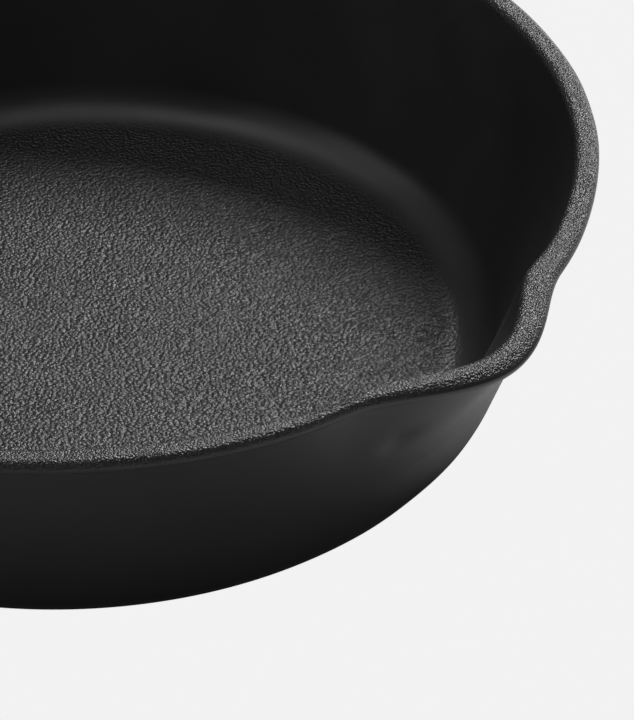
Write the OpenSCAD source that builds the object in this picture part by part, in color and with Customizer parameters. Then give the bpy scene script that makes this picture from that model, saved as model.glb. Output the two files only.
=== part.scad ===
// Cast iron skillet with two pour spouts and a hanging handle.
// The pan is a single sand casting. Each node below is one region of that casting,
// and neighbouring regions meet face to face with no overlap.
// Origin: centre of the flat base. +Z is up and +X runs along the handle.

/* [Pan] */
// Radius to the outermost point of the rim
rim_r = 103; // [95:1:135]
// Height from the base to the top of the rim
pan_h = 51; // [45:1:65]
// Radius of the flat part of the base
base_r = 78; // [70:0.5:87]
// Radius of the rounded outer corner between base and wall
corner_r = 8.8; // [6:0.2:10.4]
// Radius of the inner curve between cooking floor and wall
cove_r = 10; // [7:0.5:12]
// Thickness of the cooking floor
floor_t = 4.5; // [3.6:0.1:6]
// Thickness of the side wall, square to its surface
wall_t = 3.8; // [3:0.1:5]

/* [Rim] */
// Radius of the bead that stands proud of the wall
bead_r = 1.6; // [1:0.1:2]
// Radius of the rim's inner top edge
rim_round_r = 1.8; // [1:0.1:2.2]

/* [Pour spouts] */
// How far the outside of a spout swells out of the round rim
spout_reach = 8.6; // [5:0.2:11]
// How much less the inside swells, which makes the lip that much wider than the rim
lip_gain = 0.9; // [0:0.1:1.5]
// How much further down the bead reaches at a spout's middle
lip_droop = 1; // [0:0.1:2]
// Half of the angle that a spout takes up, in degrees
spout_half = 16.5; // [13:0.5:22]
// Share of that angle that the inside of the spout takes up
inside_share = 0.9; // [0.8:0.02:1]
// Height at which the wall starts to swell into a spout
spout_start = 19; // [16:0.5:26]
// How sharply the swelling grows with height (1 is a straight flank)
spout_growth = 1.3; // [1:0.1:2]

/* [Handle] */
// Length of the handle from the rim to its end
handle_len = 120; // [100:1:150]
// Rise of the handle above level, in degrees
handle_tilt = 7; // [0:0.5:10]
// Thickness of the handle
handle_t = 8; // [6:0.5:10]
// Depth of the handle's top face below the middle of the bead that it runs into
handle_drop = 1; // [0.4:0.1:1.2]
// Half width of the handle where it leaves the rim
root_half = 21; // [17:0.5:26]
// Half width of the handle at its waist
waist_half = 10.5; // [8:0.5:12]
// Distance from the rim to the waist
waist_u = 34; // [26:1:42]
// Depth of the handle root below its top face, at the rim
root_depth = 20; // [14:0.5:26]
// Radius of the round end of the handle
eye_r = 15.5; // [13.5:0.5:18]
// Radius of the hanging hole
hole_r = 7; // [5:0.25:8]

/* [Hidden] */
iron = "#2a2a2b";
$fn = 180;
// Half width of a piece that is larger than the whole skillet, for cutting
big = 400;
// Splits of a spout's surface: across it, up its flank, and round its bead and inner edge
spout_steps = 32;
flank_steps = 8;
bead_steps = 8;
round_steps = 4;
// Degrees by which a rounding runs on into the straight wall, so that the two fuse
fuse = 5;
// Azimuths of the spouts, seen by a cook who holds the handle
left_az = -90;
right_az = 90;

// Unit vector at an angle from the first axis
function dir(a) = [cos(a), sin(a)];
// Radius on a straight flank through point p, at height z, for a wall leaning out by `lean`
function flank_r(p, z) = p[0] + (z - p[1]) * tan(lean);

// Section of the pan in (radius, height), outside first
corner_c = [base_r, corner_r];
bead_c = [rim_r - bead_r, pan_h - bead_r];
crease = bead_c - [0, bead_r];
corner_to_crease = crease - corner_c;
// The wall is the line from the crease that just touches the corner circle
lean = 90 - atan2(corner_to_crease[1], corner_to_crease[0])
     - asin(corner_r / norm(corner_to_crease));
out = dir(-lean);
wall_foot = corner_c + corner_r * out;
inner_crease = crease - wall_t * out;
// Wall and rim meet in a level plane through the crease
split_in = [flank_r(inner_crease, crease[1]), crease[1]];
// Centre of the cove, which touches the floor and the inside of the wall
cove_z = floor_t + cove_r;
cove_c = [flank_r(inner_crease, cove_z) - cove_r / cos(lean), cove_z];
cove_top = cove_c + cove_r * out;
cove_top_out = cove_top + wall_t * out;
// Centre of the rim's inner rounding, which touches the top and the inside of the wall
round_z = pan_h - rim_round_r;
round_c = [flank_r(inner_crease, round_z) + rim_round_r / cos(lean), round_z];
round_end = round_c + rim_round_r * dir(180 - lean);

// Height of the handle's top face at the rim
handle_top_z = pan_h - bead_r - handle_drop;

// Handle, in its own frame: u out along the top face from the rim, v across, w up
eye_u = handle_len - eye_r;
eye_split_u = eye_u - eye_r;
root_arc_r = (waist_u ^ 2 + (root_half - waist_half) ^ 2) / (2 * (root_half - waist_half));
grip_run = eye_u - waist_u;
grip_arc_r = (grip_run ^ 2 + waist_half ^ 2 - eye_r ^ 2) / (2 * (eye_r - waist_half));
// Where the grip's side runs into the round end
tangent_dir = [-grip_run, waist_half + grip_arc_r] / (grip_arc_r + eye_r);
tangent_uv = [eye_u, 0] + eye_r * tangent_dir;
gusset_arc_r = (waist_u ^ 2 + (root_depth - handle_t) ^ 2) / (2 * (root_depth - handle_t));
// The root's blank reaches back past the lowest point of the wall that it meets,
// and is then cut to the wall's shape
root_low_z = handle_top_z - root_depth - wall_t;
root_back = rim_r - sqrt(flank_r(crease, root_low_z) ^ 2 - root_half ^ 2) + wall_t;

// ---- flat shapes ----

// Part of a disc between two angles, at most half a turn apart
module sector(centre, radius, from, to) {
    steps = 4;
    intersection() {
        translate(centre) circle(radius);
        polygon(concat(
            [centre],
            [for (i = [0:steps]) centre + 2 * radius * dir(from + (to - from) * i / steps)]
        ));
    }
}

module corner_section() {
    difference() {
        union() {
            polygon([
                [cove_c[0], 0], [base_r, 0], corner_c, wall_foot,
                cove_top_out, cove_top, cove_c
            ]);
            sector(corner_c, corner_r, -90, fuse - lean);
        }
        translate(cove_c) circle(cove_r);
    }
}

module wall_section() {
    polygon([cove_top, cove_top_out, crease, split_in]);
}

module rim_section() {
    polygon([crease, [bead_c[0], pan_h], [round_c[0], pan_h], round_c, round_end, split_in]);
    sector(bead_c, bead_r, -90, 90);
    sector(round_c, rim_round_r, 90, 180 - lean + fuse);
}

// Everything inside the pan's outer surface, with the inside filled in
module filled_section() {
    polygon([
        [0, 0], [base_r, 0], corner_c, wall_foot, crease, [bead_c[0], pan_h], [0, pan_h]
    ]);
    sector(corner_c, corner_r, -90, fuse - lean);
    sector(bead_c, bead_r, -90, 90);
}

// Handle seen from above
module handle_plan() {
    difference() {
        translate([-root_back, -root_half]) square([root_back + waist_u, 2 * root_half]);
        for (side = [-1, 1])
            translate([waist_u, side * (waist_half + root_arc_r)]) circle(root_arc_r);
    }
    difference() {
        polygon([
            [waist_u, -waist_half], [waist_u, -tangent_uv[1]], [tangent_uv[0], -tangent_uv[1]],
            [tangent_uv[0], tangent_uv[1]], [waist_u, tangent_uv[1]], [waist_u, waist_half]
        ]);
        for (side = [-1, 1])
            translate([waist_u, side * (waist_half + grip_arc_r)]) circle(grip_arc_r, $fn = 720);
    }
    translate([eye_u, 0]) circle(eye_r);
}

// Handle seen from the side, as (u, w)
module handle_side() {
    translate([waist_u, -handle_t]) square([handle_len - waist_u, handle_t]);
    difference() {
        translate([-root_back, -root_depth]) square([root_back + waist_u, root_depth]);
        translate([waist_u, -handle_t - gusset_arc_r]) circle(gusset_arc_r);
    }
}

// ---- solids shared by several nodes ----

// Wedge between two azimuths, above a height
module spout_window(az) {
    corners = [[0, 0], big * dir(az - spout_half), big * dir(az + spout_half)];
    translate([0, 0, spout_start]) linear_extrude(pan_h) polygon(corners);
}

// Puts a shape that is drawn in the handle's frame where the handle is
module on_handle() {
    translate([rim_r, 0, handle_top_z]) rotate([0, -handle_tilt, 0]) children();
}

// The handle's stock between two distances from the rim
module handle_blank(from_u, to_u) {
    intersection() {
        translate([0, 0, -2 * root_depth]) linear_extrude(3 * root_depth) handle_plan();
        translate([0, big / 2, 0]) rotate([90, 0, 0]) linear_extrude(big) handle_side();
        translate([from_u, -big / 2, -big / 2]) cube([to_u - from_u, big, big]);
    }
}

// ---- pour spout surface ----

// Value at an angle from the spout's middle: its peak there, falling to nothing at `half`
function swelling(a, peak, half) = abs(a) < half ? peak * cos(90 * a / half) ^ 2 : 0;
// Share of the swelling that is reached at height z
function upward(z) = max(0, (z - spout_start) / (pan_h - spout_start)) ^ spout_growth;

// Outline of the spout's section where it meets the round wall: radius, height, and the share
// of the bead's droop that the point takes
outer_outline = concat(
    [for (i = [0:flank_steps - 1])
        let (z = spout_start + (crease[1] - spout_start) * i / flank_steps)
        [flank_r(crease, z), z, i / flank_steps]],
    [for (i = [0:bead_steps])
        let (a = -90 + 180 * i / bead_steps, p = bead_c + bead_r * dir(a))
        [p[0], p[1], (1 - sin(a)) / 2]]
);
inner_outline = concat(
    [for (i = [0:round_steps])
        let (p = round_c + rim_round_r * dir(90 + (90 - lean) * i / round_steps))
        [p[0], p[1], 0]],
    [for (i = [1:flank_steps])
        let (z = round_end[1] + (spout_start - round_end[1]) * i / flank_steps)
        [flank_r(inner_crease, z), z, 0]]
);
outline_len = len(outer_outline) + len(inner_outline);

// Triangles that close the outline: a strip up the flank, and a fan over the rim
round_end_i = outline_len - 1 - flank_steps;
cap_faces = concat(
    [for (k = [0:flank_steps - 1])
        let (inner = outline_len - 1 - k)
        each [[k, k + 1, inner - 1], [k, inner - 1, inner]]],
    [for (k = [flank_steps:round_end_i - 2]) [round_end_i, k, k + 1]]
);

// Points of an outline at angle a from the spout's middle, moved out and down by up to the
// given lengths
function swollen(outline, a, out_by, down_by) = [
    for (p = outline)
        let (r = p[0] + out_by * upward(p[1]))
        [r * cos(a), r * sin(a), p[1] - down_by * p[2]]
];

// One section of the spout, at angle a from its middle
function spout_ring(a) = concat(
    swollen(outer_outline, a, swelling(a, spout_reach, spout_half),
        swelling(a, lip_droop, spout_half)),
    swollen(inner_outline, a,
        swelling(a, spout_reach - lip_gain, inside_share * spout_half), 0)
);

module pour_spout(az) {
    points = [
        for (i = [0:spout_steps])
            each spout_ring(spout_half * (2 * i / spout_steps - 1))
    ];
    first_cap = [for (f = cap_faces) [f[2], f[1], f[0]]];
    last_cap = [for (f = cap_faces) f + spout_steps * outline_len * [1, 1, 1]];
    sides = [
        for (i = [0:spout_steps - 1], j = [0:outline_len - 1])
            let (
                a = i * outline_len + j,
                b = i * outline_len + (j + 1) % outline_len,
                c = b + outline_len,
                d = a + outline_len
            )
            each [[a, b, c], [a, c, d]]
    ];
    rotate([0, 0, az]) polyhedron(points, concat(first_cap, last_cap, sides));
}

// ---- nodes ----

module cooking_floor() {
    color(iron) cylinder(r = cove_c[0], h = floor_t);
}

module base_corner() {
    color(iron) rotate_extrude() corner_section();
}

module side_wall() {
    color(iron) difference() {
        rotate_extrude() wall_section();
        spout_window(left_az);
        spout_window(right_az);
    }
}

// Rim between the two spouts, starting just past the spout at az
module rim_arc(az) {
    rotate_extrude(angle = 180 - 2 * spout_half, start = az + spout_half) rim_section();
}

module rim_handle_side() {
    color(iron) rim_arc(left_az);
}

module rim_far_side() {
    color(iron) rim_arc(right_az);
}

module pour_spout_left() {
    color(iron) pour_spout(left_az);
}

module pour_spout_right() {
    color(iron) pour_spout(right_az);
}

module handle_root() {
    color(iron) difference() {
        on_handle() handle_blank(-root_back, waist_u);
        rotate_extrude() filled_section();
    }
}

module handle_grip() {
    color(iron) on_handle() handle_blank(waist_u, eye_split_u);
}

module hang_eye() {
    color(iron) on_handle() difference() {
        handle_blank(eye_split_u, handle_len);
        translate([eye_u, 0, -2 * handle_t]) cylinder(r = hole_r, h = 3 * handle_t);
    }
}

cooking_floor();
base_corner();
side_wall();
rim_handle_side();
rim_far_side();
pour_spout_left();
pour_spout_right();
handle_root();
handle_grip();
hang_eye();
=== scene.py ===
# %% [markdown]
# # A cast iron skillet
# A skillet is poured in one piece in a sand mould, then coated with oil and baked black. This
# lesson builds it as ten closed surfaces that meet edge to edge, one for each region of the
# casting: floor, corner, wall, two stretches of rim, two pour spouts and three lengths of handle.
# The regions could be one mesh, but separate ones can be measured, hidden and finished one by one.

# %% Load the fixed frame
import math

import bpy
import numpy as np
from mathutils import Matrix, Vector


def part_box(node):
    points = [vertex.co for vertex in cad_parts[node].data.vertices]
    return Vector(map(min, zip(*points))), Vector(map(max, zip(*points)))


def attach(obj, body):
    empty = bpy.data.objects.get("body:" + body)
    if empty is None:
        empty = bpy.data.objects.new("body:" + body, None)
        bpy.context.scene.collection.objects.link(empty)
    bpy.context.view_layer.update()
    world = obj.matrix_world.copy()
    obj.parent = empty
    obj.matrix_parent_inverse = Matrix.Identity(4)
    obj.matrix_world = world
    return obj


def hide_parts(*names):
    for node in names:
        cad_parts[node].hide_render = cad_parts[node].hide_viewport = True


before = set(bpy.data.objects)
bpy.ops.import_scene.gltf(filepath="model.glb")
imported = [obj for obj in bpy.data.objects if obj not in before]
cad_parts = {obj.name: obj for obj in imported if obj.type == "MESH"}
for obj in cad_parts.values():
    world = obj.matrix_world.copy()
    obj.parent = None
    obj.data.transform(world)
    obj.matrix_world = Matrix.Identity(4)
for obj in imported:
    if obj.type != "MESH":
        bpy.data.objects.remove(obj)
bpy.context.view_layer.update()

mm = 0.001
print("regions:", sorted(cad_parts))

# %% [markdown]
# ## Driving sizes
# The frame already holds the skillet's main sizes, so they are read from its boxes and not
# typed again. The few that a box can't tell, such as the radius of a rounding, are named here.

# %% Sizes from the frame
def size_of(node):
    low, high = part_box(node)
    return high - low

rim_low, rim_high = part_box("rim_far_side")
rim_r = -rim_low.x
pan_h = rim_high.z
floor_t = size_of("cooking_floor").z
spout_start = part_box("pour_spout_right")[0].z
eye_r = size_of("hang_eye").y / 2

print("rim radius, pan height, floor thickness in mm:",
      [round(x / mm, 2) for x in (rim_r, pan_h, floor_t)])
print("spout start height and hanging eye's radius in mm:",
      [round(x / mm, 2) for x in (spout_start, eye_r)])

# %% Sizes that a box can't tell
base_r = 78.0 * mm        # flat part of the base
corner_r = 8.8 * mm       # rounded outer corner
cove_r = 10.0 * mm        # curve between cooking floor and wall
wall_t = 3.8 * mm
bead_r = 1.6 * mm         # bead that stands proud of the wall
rim_round_r = 1.8 * mm    # inner top edge of the rim
neck_r = 0.8 * mm         # hollow under the bead
spout_reach = 8.6 * mm    # how far the lip's middle swells out
lip_gain = 0.9 * mm       # how much wider the lip is than the rim
lip_droop = 1.0 * mm      # how much further down the bead reaches at the lip's middle
lip_slope = 1.6 * mm      # how much softer the lip's outer edge is rounded there
spout_half = math.radians(16.5)
inside_share = 0.9        # share of that angle that the spout's inside takes up
spout_growth = 1.3

# %% [markdown]
# ## One section for the whole pan
# A potter's rib or a lathe template gives a round pan its shape: one outline that is turned
# about the middle. Here the outline is a run of straight and round segments, from the middle
# of the base, out and up the wall, over the rim and down to the middle of the cooking floor.
# Real arcs are used because a curve through loose points would ripple in the reflections.

# %% Straight and round segments
def unit(angle):
    """Unit vector at an angle from the first axis."""
    return np.array([math.cos(angle), math.sin(angle)])


def line(start, end):
    """A straight segment."""
    start, end = np.asarray(start, float), np.asarray(end, float)
    length = float(np.linalg.norm(end - start))
    return {"length": length, "at": lambda s: start + (end - start) * (s / length)[..., None]}


def arc(centre, radius, start, end):
    """A round segment between two angles: centre plus radius times the unit vector of the angle."""
    centre = np.asarray(centre, float)
    turn = 1.0 if end > start else -1.0

    def at(s):
        angle = start + turn * s / radius
        return centre + radius * np.stack([np.cos(angle), np.sin(angle)], -1)

    return {"length": abs(end - start) * radius, "at": at}


def trace(segments, s):
    """Points at distances s along a run of segments. A distance off either end carries on the
    end segment, so that a difference can be taken there."""
    starts = np.cumsum([0.0] + [g["length"] for g in segments])
    which = np.clip(np.searchsorted(starts, s, side="right") - 1, 0, len(segments) - 1)
    out = np.zeros(np.shape(s) + (2,))
    for i, g in enumerate(segments):
        here = which == i
        out[here] = g["at"](s[here] - starts[i])
    return out

# %% The pan's outline
corner_c = np.array([base_r, corner_r])
bead_c = np.array([rim_r - bead_r, pan_h - bead_r])
crease = bead_c - [0.0, bead_r]
reach_up = crease - corner_c
lean = (math.pi / 2 - math.atan2(reach_up[1], reach_up[0])
        - math.asin(corner_r / np.linalg.norm(reach_up)))
out = unit(-lean)                          # square to the wall, outwards
along = unit(math.pi / 2 - lean)           # up the wall
wall_foot = corner_c + corner_r * out
inner_crease = crease - wall_t * out

# The hollow under the bead is a circle that touches both the wall and the bead.
drop = bead_r * math.cos(lean) - math.sqrt(
    (bead_r * math.cos(lean)) ** 2 + 2 * bead_r * neck_r * (1 - math.sin(lean)))
neck_foot = crease + drop * along
neck_c = neck_foot + neck_r * out
to_bead = bead_c - neck_c
neck_end = math.atan2(to_bead[1], to_bead[0])


def inner_flank_r(z):
    """Radius of the wall's inside at height z, as a straight line through the inner crease."""
    return inner_crease[0] + (z - inner_crease[1]) * math.tan(lean)


cove_z = floor_t + cove_r
cove_c = np.array([inner_flank_r(cove_z) - cove_r / math.cos(lean), cove_z])
cove_top = cove_c + cove_r * out
cove_top_out = cove_top + wall_t * out
round_z = pan_h - rim_round_r
round_c = np.array([inner_flank_r(round_z) + rim_round_r / math.cos(lean), round_z])
round_end = round_c + rim_round_r * unit(math.pi - lean)
neck_foot_in = np.array([inner_flank_r(neck_foot[1]), neck_foot[1]])

outline = [
    line([0.0, 0.0], [base_r, 0.0]),
    arc(corner_c, corner_r, -math.pi / 2, -lean),
    line(wall_foot, neck_foot),
    arc(neck_c, neck_r, math.pi - lean, neck_end),
    arc(bead_c, bead_r, neck_end - math.pi, math.pi / 2),
    line([bead_c[0], pan_h], [round_c[0], pan_h]),
    arc(round_c, rim_round_r, math.pi / 2, math.pi - lean),
    line(round_end, cove_top),
    arc(cove_c, cove_r, -lean, -math.pi / 2),
    line([cove_c[0], floor_t], [0.0, floor_t]),
]
(base_end, foot_s, neck_s, bead_start, bead_end, round_start, flank_top, cove_start, floor_s,
 last) = np.cumsum([g["length"] for g in outline])
print("outline length in mm:", round(last / mm, 1), " wall leans out by",
      round(math.degrees(lean), 1), "degrees")

# %% [markdown]
# ## Turning the outline into a surface
# A point of the pan is the outline's point, turned to an azimuth. Near the two spouts it also
# moves outwards: most at the spout's middle and at the rim, little at the shoulders, and not at
# all low on the wall. Every region uses this one function, so their edges match exactly. A sand
# mould is never quite true, so a last small, slow waviness bends the whole casting.

# %% Waviness of the sand mould
rng = np.random.default_rng(8)
wave_count = 9
wave_lengths = rng.uniform(11, 48, (3, wave_count)) * mm
wave_ways = rng.normal(size=(3, wave_count, 3))
wave_ways /= np.linalg.norm(wave_ways, axis=-1, keepdims=True)
wave_starts = rng.uniform(0, 2 * math.pi, (3, wave_count))
wave_size = 0.0011                         # height of a wave as a share of its length
wave_fade = 6 * mm                         # height by which the up-and-down part is whole


def smooth_step(t):
    """0 below 0, 1 above 1, and 3 t squared minus 2 t cubed between."""
    t = np.clip(t, 0.0, 1.0)
    return t * t * (3 - 2 * t)


def cast(points):
    """Moves points as an uneven mould does: along each axis, a sum of slow sine waves that run
    in random directions. The base stays flat, because the up-and-down part fades out below."""
    out_points = points.copy()
    for axis in range(3):
        phase = points @ (wave_ways[axis] / wave_lengths[axis][:, None]).T * 2 * math.pi
        shift = np.sin(phase + wave_starts[axis]) @ (wave_lengths[axis] * wave_size)
        if axis == 2:
            shift = shift * smooth_step(points[..., 2] / wave_fade)
        out_points[..., axis] += shift
    return out_points

# %% The pan surface
pit_azimuth = math.radians(81.4)
pit_z = 34.8 * mm
pit_r = 3.6 * mm
pit_depth = 0.9 * mm

# Uneven shoulders of a spout: height in mm, then middle and width in degrees from its middle
outer_humps = ((0.3, -14, 8), (-0.8, 16, 5))
inner_humps = ((1.2, 18, 6), (-0.5, -14, 4))


def from_spout(azimuth):
    """Angle from the middle of the nearer spout, positive towards the handle."""
    return math.pi / 2 - np.arccos(np.clip(np.cos(azimuth), -1.0, 1.0))


def hump(azimuth, middle, width):
    """A bell curve: e to the minus square of the distance from its middle over its width."""
    return np.exp(-((np.degrees(from_spout(azimuth)) - middle) / width) ** 2)


def lip(azimuth, half):
    """Squared cosine about +Y and -Y: 1 at a spout's middle, and 0 from the angle half on."""
    turn = np.clip(from_spout(azimuth) / half, -1.0, 1.0)
    return np.cos(math.pi / 2 * turn) ** 2


def swelling(azimuth, inside):
    """How far the rim moves out at an azimuth, for its outside (inside 0), its inside (1) and
    between. The shoulders aren't quite alike: on the handle's side the rim is thin, and on
    the far side it is a little thicker."""
    half = spout_half * (1 - (1 - inside_share) * inside)
    outer, inner = (sum(height * hump(azimuth, middle, width) for height, middle, width in humps)
                    for humps in (outer_humps, inner_humps))
    return ((spout_reach - lip_gain * inside) * lip(azimuth, half)
            + (outer + (inner - outer) * inside) * mm)


def upward(z):
    """Share of the spout's swelling at height z: a power of the height above its start."""
    share = np.clip((z - spout_start) / (pan_h - spout_start), 0.0, None)
    return share ** spout_growth


def droop(azimuth, z):
    """How far the outside moves down. The share of lip_droop grows evenly up the wall to the
    crease, and falls again to nothing over the bead."""
    up_wall = (z - spout_start) / (crease[1] - spout_start)
    down_bead = (pan_h - z) / (2 * bead_r)
    return lip_droop * lip(azimuth, spout_half) * np.clip(np.minimum(up_wall, down_bead), 0, 1)


def pit(azimuth, z):
    """Depth of a shallow round pit in the wall under a spout, as castings often have."""
    across = (azimuth - pit_azimuth) * rim_r
    up = (z - pit_z) / math.cos(lean)
    return pit_depth * np.exp(-(across ** 2 + up ** 2) / pit_r ** 2)


def slope(azimuth, z, inside):
    """How far the top of the bead moves in at a lip, so that the lip slopes down outwards. It
    grows from nothing at the bead's middle to all of it at the top, and falls to nothing again
    across the land."""
    up_bead = smooth_step((z - bead_c[1]) / bead_r)
    return lip_slope * lip(azimuth, spout_half) * up_bead * (1 - inside)


def pan(azimuth, s):
    """The pan's surface: outline point (r, z) at distance s, turned to the azimuth and cast.
    Before that r grows by swelling times upward and shrinks by slope and pit, and z droops."""
    rz = trace(outline, s)
    inside = smooth_step((s - bead_end) / (round_start - bead_end))
    outside = s < bead_end
    r = rz[..., 0] + swelling(azimuth, inside) * upward(rz[..., 1])
    r = r - slope(azimuth, rz[..., 1], inside) - pit(azimuth, rz[..., 1]) * outside
    z = rz[..., 1] - droop(azimuth, rz[..., 1]) * outside
    return cast(np.stack([r * np.cos(azimuth), r * np.sin(azimuth), z], -1))

# %% [markdown]
# ## Grids, and how they become one closed mesh
# Every surface is a grid of points over two parameters. Its normals come from differences of
# the formula itself and not from the faces, so two regions shade alike along a shared edge and
# no seam shows. The grids of one region are then welded: points in the same place become one
# vertex, and a quad that has shrunk at a pole becomes a triangle.

# %% Grids
def smooth_grid(surface, u, v):
    """Points and unit normals of surface(U, V). The normal is the cross product of the central
    differences along U and along V. At a pole, where one is zero, it is the grid's mean."""
    U, V = np.meshgrid(u, v, indexing="ij")
    du, dv = 1e-4 * np.ptp(u), 1e-4 * np.ptp(v)
    normals = np.cross(surface(U + du, V) - surface(U - du, V),
                       surface(U, V + dv) - surface(U, V - dv))
    length = np.linalg.norm(normals, axis=-1, keepdims=True)
    pole = length[..., 0] < 1e-6 * length.max()
    normals = normals / np.where(length > 0, length, 1.0)
    mean = normals[~pole].mean(0)
    normals[pole] = mean / np.linalg.norm(mean)
    return {"points": surface(U, V), "normals": normals}


def ruled_grid(first, second, flip=False):
    """Flat-shaded strip of straight lines between two rows of as many points."""
    points = np.stack([first, second], 1)
    return {"points": points[::-1] if flip else points, "normals": None}

# %% Weld grids into a closed mesh
def faces_of(grid, offset):
    """Quads of one grid and a normal for each of their corners."""
    m, n = grid["points"].shape[:2]
    index = np.arange(m * n).reshape(m, n)
    quads = np.stack([index[:-1, :-1], index[1:, :-1], index[1:, 1:], index[:-1, 1:]], -1)
    quads = quads.reshape(-1, 4)
    points = grid["points"].reshape(-1, 3)
    if grid["normals"] is None:
        corner = points[quads]
        normal = np.cross(corner[:, 2] - corner[:, 0], corner[:, 3] - corner[:, 1])
        normal /= np.maximum(np.linalg.norm(normal, axis=-1, keepdims=True), 1e-30)
        normals = np.repeat(normal[:, None], 4, 1)
    else:
        normals = grid["normals"].reshape(-1, 3)[quads]
    return quads + offset, normals


def weld(name, grids, material):
    """One closed mesh object from grids whose edges meet."""
    quads, normals, points, offset = [], [], [], 0
    for grid in grids:
        q, n = faces_of(grid, offset)
        quads.append(q)
        normals.append(n)
        points.append(grid["points"].reshape(-1, 3))
        offset += len(points[-1])
    quads, normals, points = map(np.concatenate, (quads, normals, points))

    grain = 2e-6
    _, first, where = np.unique(np.round(points / grain).astype(np.int64), axis=0,
                                return_index=True, return_inverse=True)
    points, quads = points[first], where.reshape(-1)[quads]
    keep = quads != np.roll(quads, -1, axis=1)
    whole = keep.sum(1) >= 3
    quads, keep, normals = quads[whole], keep[whole], normals[whole]

    mesh = bpy.data.meshes.new(name)
    loops = quads[keep]
    mesh.from_pydata(points, [], np.split(loops, np.cumsum(keep.sum(1))[:-1]))
    mesh.polygons.foreach_set("use_smooth", np.ones(len(mesh.polygons), bool))
    mesh.normals_split_custom_set(normals[keep])
    mesh.materials.append(material)
    piece = bpy.data.objects.new(name, mesh)
    bpy.context.scene.collection.objects.link(piece)
    report(name, points, quads, keep)
    return piece


def report(name, points, quads, keep):
    """Prints the vertices, the edges that don't have exactly two opposite faces, and the volume."""
    ahead = np.take_along_axis(quads, next_kept(keep), 1)
    edges = np.stack([quads[keep], ahead[keep]], -1)
    forward = np.unique(edges, axis=0, return_counts=True)[1]
    both = np.unique(np.sort(edges, axis=-1), axis=0, return_counts=True)[1]
    corner = points[quads]
    volume = (np.einsum("ij,ij->i", corner[:, 0], np.cross(corner[:, 1], corner[:, 2]))
              + np.einsum("ij,ij->i", corner[:, 0], np.cross(corner[:, 2], corner[:, 3]))).sum() / 6
    print(f"{name}: {len(points)} vertices, {int((both != 2).sum() + (forward != 1).sum())} "
          f"open edges, {volume / mm ** 3 / 1000:.2f} cm3")


def next_kept(keep):
    """For each corner of each quad, the next corner round it that is kept."""
    step = np.arange(4)
    nearer = [np.take_along_axis(keep, (step + k)[None] % 4 + np.zeros_like(keep, int), 1)
              for k in (1, 2, 3)]
    jump = np.where(nearer[0], 1, np.where(nearer[1], 2, 3))
    return (step[None] + jump) % 4

# %% [markdown]
# ## Finishes
# Baked oil on sand-cast iron is a thin dark varnish over a rough skin. It is nearly black, so
# almost all that the eye gets from it is gloss, broken up by the grain. Grain could be carved
# into the mesh, but at under a millimetre it would take millions of faces, so it is a bump.
# One builder makes the finish of every region from the same fine skin, and adds the coarser
# grain where that region has it, fading to nothing at the region's edge.

# %% Node helpers
def node(tree, kind, inputs=(), **settings):
    """Adds a shader node, sets its settings, and sets or links its inputs by name or number."""
    made = tree.nodes.new(kind)
    for key, value in settings.items():
        setattr(made, key, value)
    for key, value in dict(inputs).items():
        if isinstance(value, bpy.types.NodeSocket):
            tree.links.new(value, made.inputs[key])
        else:
            made.inputs[key].default_value = value
    return made


def ramp_between(tree, value, low, high):
    """0 where value is low, 1 where it is high, eased between. High may be under low."""
    lower, upper = min(low, high), max(low, high)
    flipped = high < low
    made = node(tree, "ShaderNodeMapRange",
                {"Value": value, "From Min": lower, "From Max": upper,
                 "To Min": 1.0 if flipped else 0.0, "To Max": 0.0 if flipped else 1.0},
                interpolation_type="SMOOTHSTEP")
    return made.outputs["Result"]


def maths(tree, operation, *values):
    """A Math node on two sockets or numbers."""
    return node(tree, "ShaderNodeMath", enumerate(values), operation=operation).outputs[0]

# %% The iron finish
fine_size = 0.42 * mm           # skin of the sand
fine_depth = 0.02 * mm
pebble_size = 0.78 * mm         # grain of the cooking floor
pebble_depth = 0.36 * mm
sand_size = 0.45 * mm           # grain of the rim's top
sand_depth = 0.20 * mm
patch_size = 26 * mm            # uneven gloss of the baked oil
floor_edge = float(cove_c[0])
floor_fade = (floor_edge + 4 * mm, floor_edge - 3 * mm)    # radii with no pebbles and with all
rim_fade = (pan_h - 1.9 * mm, pan_h - 0.6 * mm)            # heights with no sand and with all
roughness_low = 0.38
roughness_high = 0.48
floor_polish = 0.07             # how much less rough the rubbed places are
rim_polish = 0.11
dark_iron = (0.0105, 0.0105, 0.0108, 1.0)
light_iron = (0.0170, 0.0168, 0.0166, 1.0)


def noise(tree, place, size, detail):
    """Noise between 0 and 1 with features of a given size."""
    made = node(tree, "ShaderNodeTexNoise", {"Vector": place, "Scale": 1 / size, "Detail": detail,
                                             "Roughness": 0.55})
    return made.outputs["Fac"]


def pebbles(tree, place, size):
    """Rounded bumps of a given size, pressed together: minus the distance to the nearest of many
    scattered points, with a finer noise laid over it."""
    cells = node(tree, "ShaderNodeTexVoronoi",
                 {"Vector": place, "Scale": 1 / size}).outputs["Distance"]
    return maths(tree, "MULTIPLY_ADD", noise(tree, place, size * 0.6, 2.0), 0.8,
                 maths(tree, "MULTIPLY", cells, -1.0))


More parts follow.
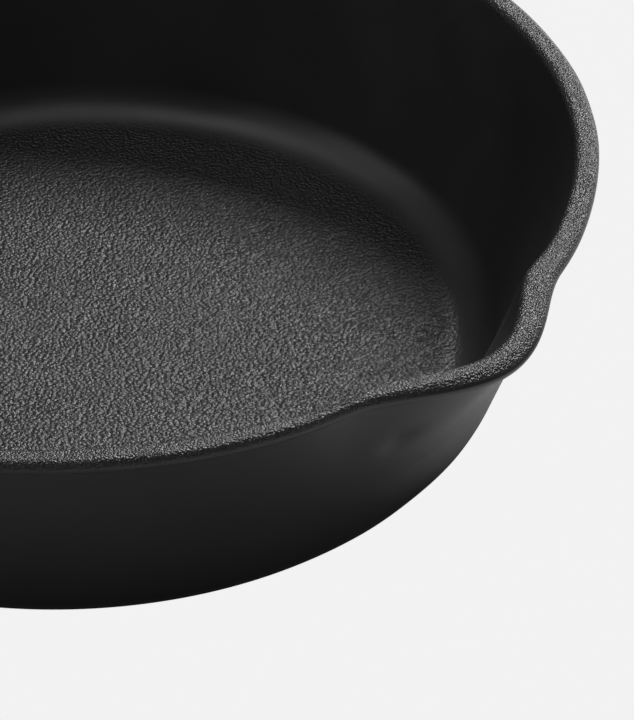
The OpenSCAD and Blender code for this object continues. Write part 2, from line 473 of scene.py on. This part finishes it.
def iron(name, pan_grain):
    """Seasoned cast iron: nearly black, with a skin of fine grain. With pan_grain it has pebbles
    on the cooking floor and sand on the rim's top, each fading out at its edge. Both places are
    rubbed in use, so they shine more."""
    material = bpy.data.materials.new(name)
    material.use_nodes = True
    tree = material.node_tree
    shader = tree.nodes["Principled BSDF"]
    place = node(tree, "ShaderNodeTexCoord").outputs["Object"]
    slow = noise(tree, place, patch_size, 3.0)
    normal = node(tree, "ShaderNodeBump",
                  {"Height": noise(tree, place, fine_size, 2.0), "Distance": fine_depth})
    if pan_grain:
        height = node(tree, "ShaderNodeSeparateXYZ", {"Vector": place}).outputs["Z"]
        level = node(tree, "ShaderNodeVectorMath", {0: place, 1: (1.0, 1.0, 0.0)},
                     operation="MULTIPLY").outputs["Vector"]
        radius = node(tree, "ShaderNodeVectorMath", {0: level}, operation="LENGTH").outputs["Value"]
        on_floor = maths(tree, "MULTIPLY",
                         ramp_between(tree, radius, *floor_fade),
                         ramp_between(tree, height, floor_t * 0.6, floor_t * 0.8))
        on_rim = ramp_between(tree, height, *rim_fade)
        for mask, size, depth in ((on_floor, pebble_size, pebble_depth),
                                  (on_rim, sand_size, sand_depth)):
            grain = maths(tree, "MULTIPLY", pebbles(tree, place, size), mask)
            normal = node(tree, "ShaderNodeBump", {"Height": grain, "Distance": depth,
                                                   "Normal": normal.outputs["Normal"]})
    tree.links.new(normal.outputs["Normal"], shader.inputs["Normal"])
    roughness = node(tree, "ShaderNodeMapRange",
                     {"Value": slow, "From Min": 0.3, "From Max": 0.7, "To Min": roughness_low,
                      "To Max": roughness_high}).outputs["Result"]
    if pan_grain:
        roughness = maths(tree, "MULTIPLY_ADD", on_floor, -floor_polish, roughness)
        roughness = maths(tree, "MULTIPLY_ADD", on_rim, -rim_polish, roughness)
    tree.links.new(roughness, shader.inputs["Roughness"])
    shade = node(tree, "ShaderNodeMix", {"Factor": slow, 6: dark_iron, 7: light_iron},
                 data_type="RGBA")
    tree.links.new(shade.outputs[2], shader.inputs["Base Color"])
    shader.inputs["Specular IOR Level"].default_value = 0.5
    print("finish:", name)
    return material


pan_iron = iron("seasoned_pan_iron", True)
handle_iron = iron("seasoned_handle_iron", False)

# %% [markdown]
# ## The pan's regions
# Each region is a band of the outline, turned through some azimuths. Its outer run, its inner
# run and the hidden faces between them make a closed loop, so the region is a solid shell.

# %% Distances along the outline
corner_top_s = foot_s + float(np.linalg.norm(cove_top_out - wall_foot))
spout_out_s = foot_s + (spout_start - wall_foot[1]) / math.cos(lean)
spout_in_s = flank_top + (round_end[1] - spout_start) / math.cos(lean)
neck_in_s = flank_top + float(np.linalg.norm(neck_foot_in - round_end))


def steps(*marks):
    """Numbers from mark to mark, given as mark, count of steps, mark, count, ... mark."""
    stretches = zip(marks[::2], marks[1::2], marks[2::2])
    return np.concatenate([np.linspace(a, b, n + 1)[:-1] for a, n, b in stretches] + [marks[-1:]])


floor_in = steps(0.0, 34, floor_edge)                       # base, from the middle outwards
floor_top = steps(floor_s, 60, last)
corner_out = steps(floor_edge, 4, base_end, 14, foot_s, 6, corner_top_s)
corner_in = steps(cove_start, 20, floor_s)
wall_out_low = steps(corner_top_s, 5, spout_out_s)
wall_out_high = steps(spout_out_s, 24, neck_s)
wall_in_high = steps(neck_in_s, 24, spout_in_s)
wall_in_low = steps(spout_in_s, 5, cove_start)
over_rim = steps(neck_s, 6, bead_start, 20, bead_end, 4, round_start, 10, flank_top, 10, neck_in_s)
print("wall's outside from", round(neck_s / mm, 2), "to", round(bead_start / mm, 2),
      "mm along the outline is the hollow under the bead")

# %% Azimuths
quarter = math.pi / 2
right_window = steps(quarter - spout_half, 72, quarter + spout_half)
far_arc = steps(quarter + spout_half, 150, 3 * quarter - spout_half)
left_window = right_window + math.pi
handle_arc = far_arc + math.pi
full_turn = np.concatenate([right_window[:-1], far_arc[:-1], left_window[:-1], handle_arc])
print("azimuths in a full turn:", len(full_turn) - 1)

# %% Bands, strips and cut ends of the pan
def band(azimuths, run):
    """A stretch of the outline, turned through the azimuths."""
    return smooth_grid(pan, azimuths, run)


def strip(azimuths, s_from, s_to):
    """Hidden face between two places on the outline."""
    return ruled_grid(pan(azimuths, np.full_like(azimuths, s_from)),
                      pan(azimuths, np.full_like(azimuths, s_to)))


def cut_ends(azimuths, loop):
    """The two flat faces where a loop of the outline starts and ends its turn."""
    half = (len(loop) + 1) // 2
    ends = []
    for azimuth, flip in ((azimuths[0], False), (azimuths[-1], True)):
        section = pan(np.full_like(loop, azimuth), loop)
        ends.append(ruled_grid(section[:half], section[::-1][:half], flip))
    return ends


def finish_piece(piece, *nodes):
    """A piece rides on the casting's one body and stands for its CAD nodes."""
    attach(piece, "root")
    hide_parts(*nodes)

# %% [markdown]
# ### Cooking floor and base corner
# The floor is a plate of even thickness. Round it the corner curves up on both sides at once,
# outside to the wall and inside as the cove that a spatula follows.

# %% Cooking floor
floor_piece = weld("cooking_floor_plate", [
    band(full_turn, floor_top),
    band(full_turn, floor_in),
    strip(full_turn, floor_edge, floor_s),
], pan_iron)
finish_piece(floor_piece, "cooking_floor")

# %% Base corner
corner_piece = weld("base_corner_ring", [
    band(full_turn, corner_out),
    strip(full_turn, corner_top_s, cove_start),
    band(full_turn, corner_in),
    strip(full_turn, floor_s, floor_edge),
], pan_iron)
finish_piece(corner_piece, "base_corner")

# %% [markdown]
# ### Wall
# Below the spouts the wall is a whole ring. Above that height it is two stretches, and the
# spouts fill the two gaps.

# %% Side wall
wall_grids = [
    band(full_turn, wall_out_low),
    band(full_turn, wall_in_low),
    strip(full_turn, cove_start, corner_top_s),
    strip(right_window, spout_out_s, spout_in_s),
    strip(left_window, spout_out_s, spout_in_s),
]
for stretch in (far_arc, handle_arc):
    wall_grids += [band(stretch, wall_out_high), band(stretch, wall_in_high),
                   strip(stretch, neck_s, neck_in_s)]
    wall_grids += cut_ends(stretch, np.concatenate([wall_out_high, wall_in_high]))
wall_piece = weld("side_wall_ring", wall_grids, pan_iron)
finish_piece(wall_piece, "side_wall")

# %% [markdown]
# ### Rim and pour spouts
# The rim stiffens the edge: a round bead outside, a narrow flat land on top and a soft inner
# edge. At each spout the wall and the rim swell outwards together, so that the lip is thin and
# level and oil leaves it in a narrow stream.

# %% Rim
for name, stretch in (("rim_far_side", far_arc), ("rim_handle_side", handle_arc)):
    piece = weld(name + "_bead", [band(stretch, over_rim), strip(stretch, neck_in_s, neck_s)]
                 + cut_ends(stretch, over_rim), pan_iron)
    finish_piece(piece, name)

# %% Pour spouts
spout_run = np.concatenate([wall_out_high[:-1], over_rim[:-1], wall_in_high])
for name, window in (("pour_spout_right", right_window), ("pour_spout_left", left_window)):
    piece = weld(name + "_lip", [band(window, spout_run), strip(window, spout_in_s, spout_out_s)]
                 + cut_ends(window, spout_run), pan_iron)
    finish_piece(piece, name)

# %% [markdown]
# ## The handle
# The handle is drawn in its own frame, as in the pattern shop: u runs out from the rim along
# its top face, v across and w up. A section of it is a rounded bar. Its width and depth follow
# circular arcs: wide and deep at the wall, where it carries the load, slim at the waist, and
# wide again round the hole that it hangs by. A hand meets only round edges.

# %% Sizes of the handle
handle_len = 120.0 * mm
handle_tilt = math.radians(7.0)
handle_t = 8.0 * mm
handle_drop = bead_r + 1.0 * mm  # top face below the rim's top
root_half = 21.0 * mm
root_depth = 20.0 * mm
waist_half = 10.5 * mm
waist_u = 34.0 * mm
hole_r = 7.0 * mm
edge_r = 4.0 * mm               # round side of the bar
hole_edge_r = 0.9 * mm
dish_depth = 1.1 * mm           # hollow for the thumb
dish_start, dish_end = 0.08, 0.94    # its ends as shares of the grip's length
dish_ease = 0.3                 # share of that length over which it deepens
root_ease = 6 * mm              # run over which the root's flare stops at the wall
fillet_side = 6.0 * mm          # fillet at the sides and below
fillet_top = 1.4 * mm           # fillet on the top face, under the bead
eye_u = handle_len - eye_r
split_u = eye_u - eye_r


def arc_radius(run, rise):
    """Radius of an arc that starts level and gains a rise over a run."""
    return (run ** 2 + rise ** 2) / (2 * rise)


def arc_rise(run, radius):
    """Rise of such an arc after a run."""
    return radius - np.sqrt(radius ** 2 - run ** 2)


root_arc_r = arc_radius(waist_u, root_half - waist_half)
keel_arc_r = arc_radius(waist_u, root_depth - handle_t)
grip_run = eye_u - waist_u
grip_arc_r = (grip_run ** 2 + waist_half ** 2 - eye_r ** 2) / (2 * (eye_r - waist_half))
tangent_u = eye_u - eye_r * grip_run / (grip_arc_r + eye_r)
print("handle's waist, start of the eye and length in mm:",
      [round(x / mm, 1) for x in (waist_u, split_u, handle_len)])

# %% A section of the handle
def towards_wall(u):
    """Run from the waist towards the wall. It eases to a stop, so the root doesn't flare on."""
    run = np.clip(waist_u - u, 0.0, waist_u + root_ease)
    return run - np.clip(run - (waist_u - root_ease), 0.0, None) ** 2 / (4 * root_ease)


def half_width(u):
    """Half the handle's width: root arc, then grip arc, then the circle of the eye."""
    root_part = arc_rise(towards_wall(u), root_arc_r)
    grip_part = arc_rise(np.clip(u, waist_u, tangent_u) - waist_u, grip_arc_r)
    eye_part = np.sqrt(np.clip(eye_r ** 2 - (u - eye_u) ** 2, 0.0, None))
    return np.where(u > tangent_u, eye_part, waist_half + root_part + grip_part)


def bar(q, u):
    """Point (v, w) of the section at u. q runs once round it from 0 to 6: corner, top, corner,
    corner, underside, corner. Corners are quarter ellipses, deeper below where the keel is."""
    q = np.mod(q, 6.0)
    angle = sum(np.clip(q - start, 0.0, 1.0) for start in (0, 2, 3, 5)) * math.pi / 2
    side = 1 - 2 * np.clip(q - 1, 0.0, 1.0) + 2 * np.clip(q - 4, 0.0, 1.0)
    wide = half_width(u)
    keel = arc_rise(towards_wall(u), keel_arc_r)
    below = q > 3
    corner = np.where(below, edge_r + keel, edge_r)
    tall = np.where(below, handle_t / 2 + keel, handle_t / 2)
    v = side * (wide - corner) + corner * np.cos(angle)
    w = -handle_t / 2 + tall * np.sin(angle)
    along_grip = (u - waist_u) / (split_u - waist_u)
    hollow = (smooth_step((along_grip - dish_start) / dish_ease)
              * smooth_step((dish_end - along_grip) / dish_ease))
    w -= np.where((q > 1) & (q < 2), dish_depth * hollow * (1 - side ** 2) ** 2, 0.0)
    return v, w


def on_handle(u, v, w):
    """From the handle's frame to the skillet's, and cast."""
    cos, sin = math.cos(handle_tilt), math.sin(handle_tilt)
    return cast(np.stack([rim_r + u * cos - w * sin, v + 0 * u,
                          pan_h - handle_drop + u * sin + w * cos], -1))


def grip(q, u):
    """The handle's surface beyond the waist."""
    return on_handle(u, *bar(q, u))

# %% Where the root runs into the wall
wall_run = trace(outline, np.linspace(base_end, bead_end, 4000))


def u_at_wall(v, w):
    """Distance u at which a line along the handle, at (v, w), meets the pan's outside."""
    cos, sin = math.cos(handle_tilt), math.sin(handle_tilt)
    u = np.zeros_like(v)
    for _ in range(30):
        r = np.interp(pan_h - handle_drop + u * sin + w * cos, wall_run[:, 1], wall_run[:, 0])
        u = (np.sqrt(r ** 2 - v ** 2) - rim_r + w * sin) / cos
    return u


def fillet_reach(up):
    """Size of the fillet for a section's normal that points up by this much: small on the top
    face, where only the bead is above it, and large at the sides and below."""
    return fillet_side + (fillet_top - fillet_side) * smooth_step((up + 0.1) / 0.9)


def root(q, t):
    """The root's surface. t from 0 to -1 goes from the waist to where the fillet starts, and
    from -1 to -2 over the fillet. The fillet is a quadratic curve with three control points:
    on the root, where the root's line meets the wall, and on the wall away from the root."""
    meet = np.zeros_like(q)
    for _ in range(30):
        meet = u_at_wall(*bar(q, meet))
    v, w = bar(q, meet)
    ahead, behind = bar(q + 1e-4, meet), bar(q - 1e-4, meet)
    tangent = np.stack([ahead[0] - behind[0], ahead[1] - behind[1]], -1)
    tangent /= np.linalg.norm(tangent, axis=-1, keepdims=True)
    reach = fillet_reach(-tangent[..., 0])
    start = meet + reach
    u = waist_u + (start - waist_u) * np.clip(-t, None, 1.0)
    body = np.stack([u, *bar(q, u)], -1)
    corner = np.stack([meet, v, w], -1)
    foot_v, foot_w = v + reach * tangent[..., 1], w - reach * tangent[..., 0]
    foot = np.stack([u_at_wall(foot_v, foot_w) - 0.15 * mm, foot_v, foot_w], -1)
    f = np.clip(-t - 1, 0.0, None)[..., None]
    curve = (1 - f) ** 2 * body + 2 * f * (1 - f) * corner + f ** 2 * foot
    return on_handle(curve[..., 0], curve[..., 1], curve[..., 2])

# %% [markdown]
# ### Root, grip and hanging eye
# Root and grip are runs of sections. The eye needs a hole, so its grid is polar: rays from the
# hole's middle end on the outline, or on the plane where the grip starts. Its height falls off
# with distance from the outline just as a section's corner does, so the two join smoothly.

# %% Root and grip
ring_q = steps(0, 10, 1, 16, 2, 10, 3, 10, 4, 16, 5, 10, 6)
ring_half = len(ring_q) // 2


def bar_end(surface, place, flip):
    """Flat end of a run of sections: rows across, from the top edge to the underside."""
    section = surface(ring_q, np.full_like(ring_q, place))
    return ruled_grid(section[:ring_half + 1], section[ring_half:][::-1], flip)


root_t = steps(-2.0, 10, -1.0, 26, 0.0)
root_piece = weld("handle_root_bar", [
    smooth_grid(root, ring_q, root_t),
    bar_end(root, -2.0, True),
    bar_end(root, 0.0, False),
], handle_iron)
finish_piece(root_piece, "handle_root")

grip_piece = weld("handle_grip_bar", [
    smooth_grid(grip, ring_q, steps(waist_u, 60, split_u)),
    bar_end(grip, waist_u, True),
    bar_end(grip, split_u, False),
], handle_iron)
finish_piece(grip_piece, "handle_grip")

# %% Rays from the middle of the hole
end_v, _ = bar(ring_q[:ring_half + 1], np.full(ring_half + 1, split_u))
back_rays = np.arctan2(end_v, split_u - eye_u)                       # from +v round to -v
back_rays = np.mod(back_rays, 2 * math.pi)
front_rays = np.linspace(back_rays[-1] - 2 * math.pi, back_rays[0], 181)
rays = np.concatenate([front_rays[:-1], back_rays])
ray_end = np.full_like(rays, eye_r)
for _ in range(40):
    reach_u = eye_u + ray_end * np.cos(rays)
    ray_end = np.where((reach_u < tangent_u) & (np.abs(np.sin(rays)) > 0.2),
                       half_width(reach_u) / np.maximum(np.abs(np.sin(rays)), 0.2), ray_end)
ray_end[len(front_rays) - 1:] = (eye_u - split_u) / -np.cos(back_rays)
ray_end[0] = ray_end[-1]
print("rays round the hole:", len(rays), " their ends are", round(ray_end.min() / mm, 2), "to",
      round(ray_end.max() / mm, 2), "mm from its middle")


def eye_face(side):
    """Top (side 1) or underside (side -1) of the eye, with normals from the slope formula:
    height is that of an ellipse's corner at the distance d from the outline."""
    turn = steps(0, 30, math.pi / 2)
    inner_r = hole_r + hole_edge_r
    ray, a = np.meshgrid(rays, turn, indexing="ij")
    r = ray_end[:, None] - (ray_end[:, None] - inner_r) * (1 - np.cos(a))
    u, v = eye_u + r * np.cos(ray), r * np.sin(ray)
    slope = (half_width(u + 1e-7) - half_width(u - 1e-7)) / 2e-7
    neck = u < eye_u
    d = np.clip(np.where(neck, half_width(u) - np.abs(v), eye_r - r), 0.0, edge_r)
    d_u = np.where(neck, slope, -np.cos(ray))
    d_v = np.where(neck, -np.sign(v), -np.sin(ray))
    level = np.sqrt(1 - (1 - d / edge_r) ** 2)
    steep = handle_t / 2 / edge_r * (1 - d / edge_r)
    points = np.stack([u, v, -handle_t / 2 + side * handle_t / 2 * level], -1)
    normals = np.stack([-steep * d_u, -steep * d_v, side * level], -1)
    return points, normals / np.linalg.norm(normals, axis=-1, keepdims=True)


def hole_wall():
    """The hole's side, with a rounded edge at both ends."""
    top = arc([hole_r + hole_edge_r, -hole_edge_r], hole_edge_r, math.pi / 2, math.pi)
    straight = line([hole_r, -hole_edge_r], [hole_r, hole_edge_r - handle_t])
    low = arc([hole_r + hole_edge_r, hole_edge_r - handle_t], hole_edge_r, math.pi,
              1.5 * math.pi)
    run = [top, straight, low]
    ends = np.cumsum([0.0] + [g["length"] for g in run])

    def surface(ray, s):
        rw = trace(run, s)
        return on_handle(eye_u + rw[..., 0] * np.cos(ray), rw[..., 0] * np.sin(ray), rw[..., 1])

    return smooth_grid(surface, rays, steps(0.0, 6, ends[1], 10, ends[2], 6, ends[3]))


def cast_face(points, normals):
    """Puts points of the handle's frame in place. Two short steps square to each normal are put
    in place with them, and their cross product is the new normal."""
    aside = np.cross(normals, [0.31, 0.52, 0.79])
    aside /= np.linalg.norm(aside, axis=-1, keepdims=True)
    ahead = np.cross(normals, aside)
    place = lambda p: on_handle(p[..., 0], p[..., 1], p[..., 2])
    step = 1e-5
    turned = np.cross(place(points + step * aside) - place(points - step * aside),
                      place(points + step * ahead) - place(points - step * ahead))
    turned /= np.linalg.norm(turned, axis=-1, keepdims=True)
    return {"points": place(points), "normals": turned}


top_face, low_face = cast_face(*eye_face(1)), cast_face(*eye_face(-1))
low_face = {key: value[:, ::-1] for key, value in low_face.items()}
eye_piece = weld("hang_eye_loop", [
    top_face,
    hole_wall(),
    low_face,
    ruled_grid(low_face["points"][:, -1], top_face["points"][:, 0]),
], handle_iron)
finish_piece(eye_piece, "hang_eye")

# %% [markdown]
# ## Stage, light and camera
# The skillet stands on a plain pale ground that runs into a pale surround. A Light Path node lets
# the camera see both as one even tone, while the iron gets its light from a shaded ground, a dim
# surround and the softboxes, as in a studio with a separately lit backdrop. The key softbox hangs
# behind the pan and above it, so its gloss lies on every gently tilted surface, and the near wall
# faces away from it and stays dark. Weaker ones add to the rim's gloss, lighten the inside from
# above and touch the wall under the spout. The camera is a long lens that looks down at a spout.

# %% Ground and surround
pale = 0.888
scene = bpy.context.scene
scene.view_settings.view_transform = "Standard"

ground_mesh = bpy.data.meshes.new("ground")
ground_mesh.from_pydata([(-6, -6, 0), (6, -6, 0), (6, 6, 0), (-6, 6, 0)], [], [(0, 1, 2, 3)])
ground = bpy.data.objects.new("ground", ground_mesh)
ground.location.z = -0.0002
scene.collection.objects.link(ground)
paint = bpy.data.materials.new("pale_ground")
paint.use_nodes = True
tree = paint.node_tree
shaded = tree.nodes["Principled BSDF"]
shaded.inputs["Base Color"].default_value = (0.8, 0.8, 0.8, 1.0)
shaded.inputs["Roughness"].default_value = 0.9
speck = noise(tree, node(tree, "ShaderNodeTexCoord").outputs["Object"], 0.4, 1.0)
glow = node(tree, "ShaderNodeEmission",
            {"Color": (pale, pale, pale, 1.0),
             "Strength": maths(tree, "MULTIPLY_ADD", speck, 0.004, 0.998)})
seen_here = node(tree, "ShaderNodeMixShader",
                 {0: node(tree, "ShaderNodeLightPath").outputs["Is Camera Ray"],
                  1: shaded.outputs["BSDF"], 2: glow.outputs["Emission"]})
tree.links.new(seen_here.outputs["Shader"], tree.nodes["Material Output"].inputs["Surface"])
ground_mesh.materials.append(paint)

world = bpy.data.worlds.new("surround")
scene.world = world
world.use_nodes = True
background = world.node_tree.nodes["Background"]
background.inputs["Color"].default_value = (1.0, 1.0, 1.0, 1.0)
path = node(world.node_tree, "ShaderNodeLightPath").outputs["Is Camera Ray"]
ambient = 0.115
seen = maths(world.node_tree, "MULTIPLY_ADD", path, pale - ambient, ambient)
world.node_tree.links.new(seen, background.inputs["Strength"])

# %% Softboxes
def softbox(name, azimuth, elevation, distance, width, height, power):
    """Area light that hangs at a direction from the pan's middle, and faces it."""
    lamp = bpy.data.lights.new(name, "AREA")
    lamp.shape = "RECTANGLE"
    lamp.size, lamp.size_y, lamp.energy = width, height, power
    holder = bpy.data.objects.new(name, lamp)
    az, el = math.radians(azimuth), math.radians(elevation)
    holder.location = distance * Vector((math.cos(el) * math.cos(az),
                                         math.cos(el) * math.sin(az), math.sin(el)))
    holder.rotation_euler = (-holder.location).to_track_quat("-Z", "Y").to_euler()
    scene.collection.objects.link(holder)
    return holder


softbox("key_softbox", 197, 42, 1.2, 0.5, 0.3, 13.6)
softbox("rim_softbox", 192, 29, 1.2, 0.3, 0.3, 3.6)
softbox("top_softbox", 41, 88, 1.2, 0.8, 0.8, 1.8)
softbox("left_softbox", 311, 30, 1.2, 0.6, 0.5, 1.1)
softbox("upper_left_softbox", 300, 60, 1.2, 0.6, 0.5, 1.4)

# %% Camera
aim = Vector((23.19, 84.48, 51.0)) * mm
view_azimuth = math.radians(41.23)
view_elevation = math.radians(36.38)
view_distance = 642.2 * mm
away = Vector((math.cos(view_elevation) * math.cos(view_azimuth),
               math.cos(view_elevation) * math.sin(view_azimuth), math.sin(view_elevation)))
lens = bpy.data.cameras.new("long_lens")
lens.lens = 180.85
lens.sensor_width = 36.0
camera = bpy.data.objects.new("camera", lens)
look = (-away).to_track_quat("-Z", "Y").to_matrix().to_4x4()
camera.matrix_world = (Matrix.Translation(aim + view_distance * away) @ look
                       @ Matrix.Rotation(math.radians(-0.21), 4, "Z"))
scene.collection.objects.link(camera)
scene.camera = camera
print("camera at", [round(x / mm, 1) for x in camera.location])
